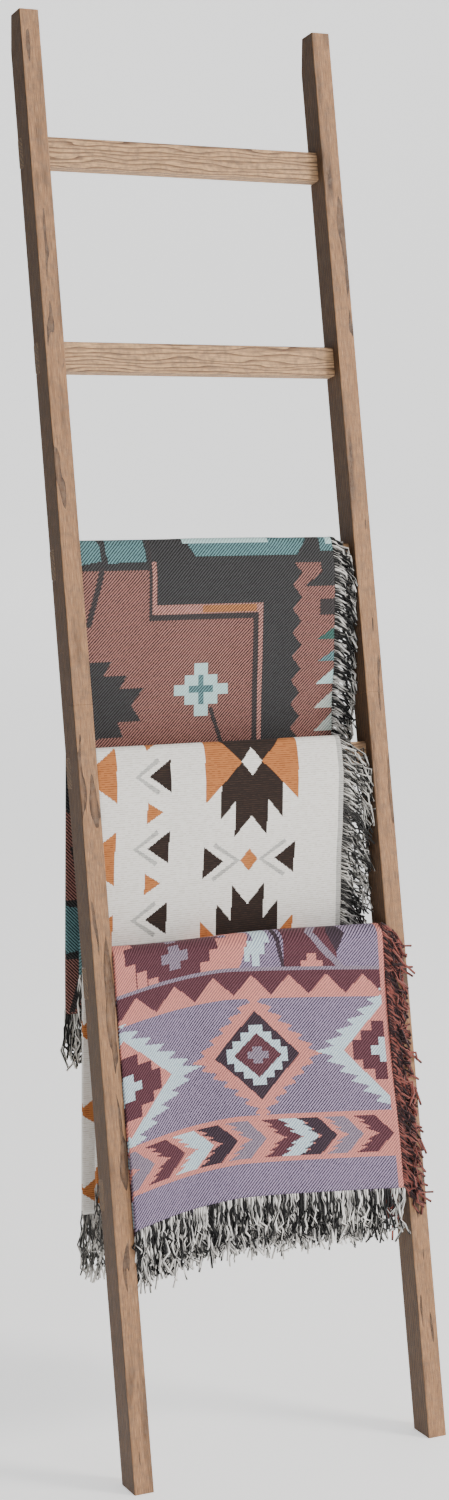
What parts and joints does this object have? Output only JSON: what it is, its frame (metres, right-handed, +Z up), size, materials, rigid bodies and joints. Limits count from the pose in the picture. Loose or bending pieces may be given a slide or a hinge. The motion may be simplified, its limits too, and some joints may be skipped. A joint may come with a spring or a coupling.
{
  "type": "blanket ladder with throws",
  "caption": "Leaning wooden blanket ladder with notched rungs and half-lapped rails, hung with folded, fringed jacquard throws that lift off.",
  "frame": {"origin": "on the floor, in the middle of the width over the rails and of the depth from the front of the feet to the wall", "axes": "+Z up; +X along the rungs, to the right as seen from the front; +Y towards the wall that the ladder leans on"},
  "size_m": [0.4396, 0.39, 1.7936],
  "materials": {
    "rail_wood": "stained, brushed, matt",
    "rung_wood": "stained, brushed, matt",
    "screw_steel": "zinc plated",
    "upper_cloth": "jacquard woven cotton",
    "middle_cloth": "jacquard woven cotton, ribbed",
    "lower_cloth": "jacquard woven cotton",
    "upper_fringe": "twisted cotton yarn",
    "middle_fringe": "twisted cotton yarn",
    "lower_fringe": "twisted cotton yarn"
  },
  "bodies": {
    "ladder": {"left_lower_rail": "rail_wood", "left_upper_rail": "rail_wood", "right_lower_rail": "rail_wood", "right_upper_rail": "rail_wood", "rung_1": "rung_wood", "rung_2": "rung_wood", "rung_3": "rung_wood", "rung_4": "rung_wood", "rung_5": "rung_wood", "rung_6": "rung_wood", "left_rung_screw_1": "screw_steel", "left_rung_screw_2": "screw_steel", "left_rung_screw_3": "screw_steel", "left_rung_screw_4": "screw_steel", "left_rung_screw_5": "screw_steel", "left_rung_screw_6": "screw_steel", "right_rung_screw_1": "screw_steel", "right_rung_screw_2": "screw_steel", "right_rung_screw_3": "screw_steel", "right_rung_screw_4": "screw_steel", "right_rung_screw_5": "screw_steel", "right_rung_screw_6": "screw_steel", "left_lap_screw_1": "screw_steel", "left_lap_screw_2": "screw_steel", "right_lap_screw_1": "screw_steel", "right_lap_screw_2": "screw_steel"},
    "upper_throw": {"upper_throw": "upper_cloth", "upper_throw_side_fringe": "upper_fringe", "upper_throw_front_fringe": "upper_fringe", "upper_throw_back_fringe": "upper_fringe"},
    "middle_throw": {"middle_throw": "middle_cloth", "middle_throw_side_fringe": "middle_fringe", "middle_throw_front_fringe": "middle_fringe", "middle_throw_back_fringe": "middle_fringe"},
    "lower_throw": {"lower_throw": "lower_cloth", "lower_throw_side_fringe": "lower_fringe", "lower_throw_front_fringe": "lower_fringe"}
  },
  "joints": [
    {"name": "upper_throw_lift", "type": "slide", "parent": "ladder", "child": "upper_throw", "axis": [0, 0, 1], "range_m": [0, 0.65]},
    {"name": "middle_throw_lift", "type": "slide", "parent": "ladder", "child": "middle_throw", "axis": [0, 0, 1], "range_m": [0, 0.65]},
    {"name": "lower_throw_lift", "type": "slide", "parent": "ladder", "child": "lower_throw", "axis": [0, 0, 1], "range_m": [0, 0.25]}
  ]
}
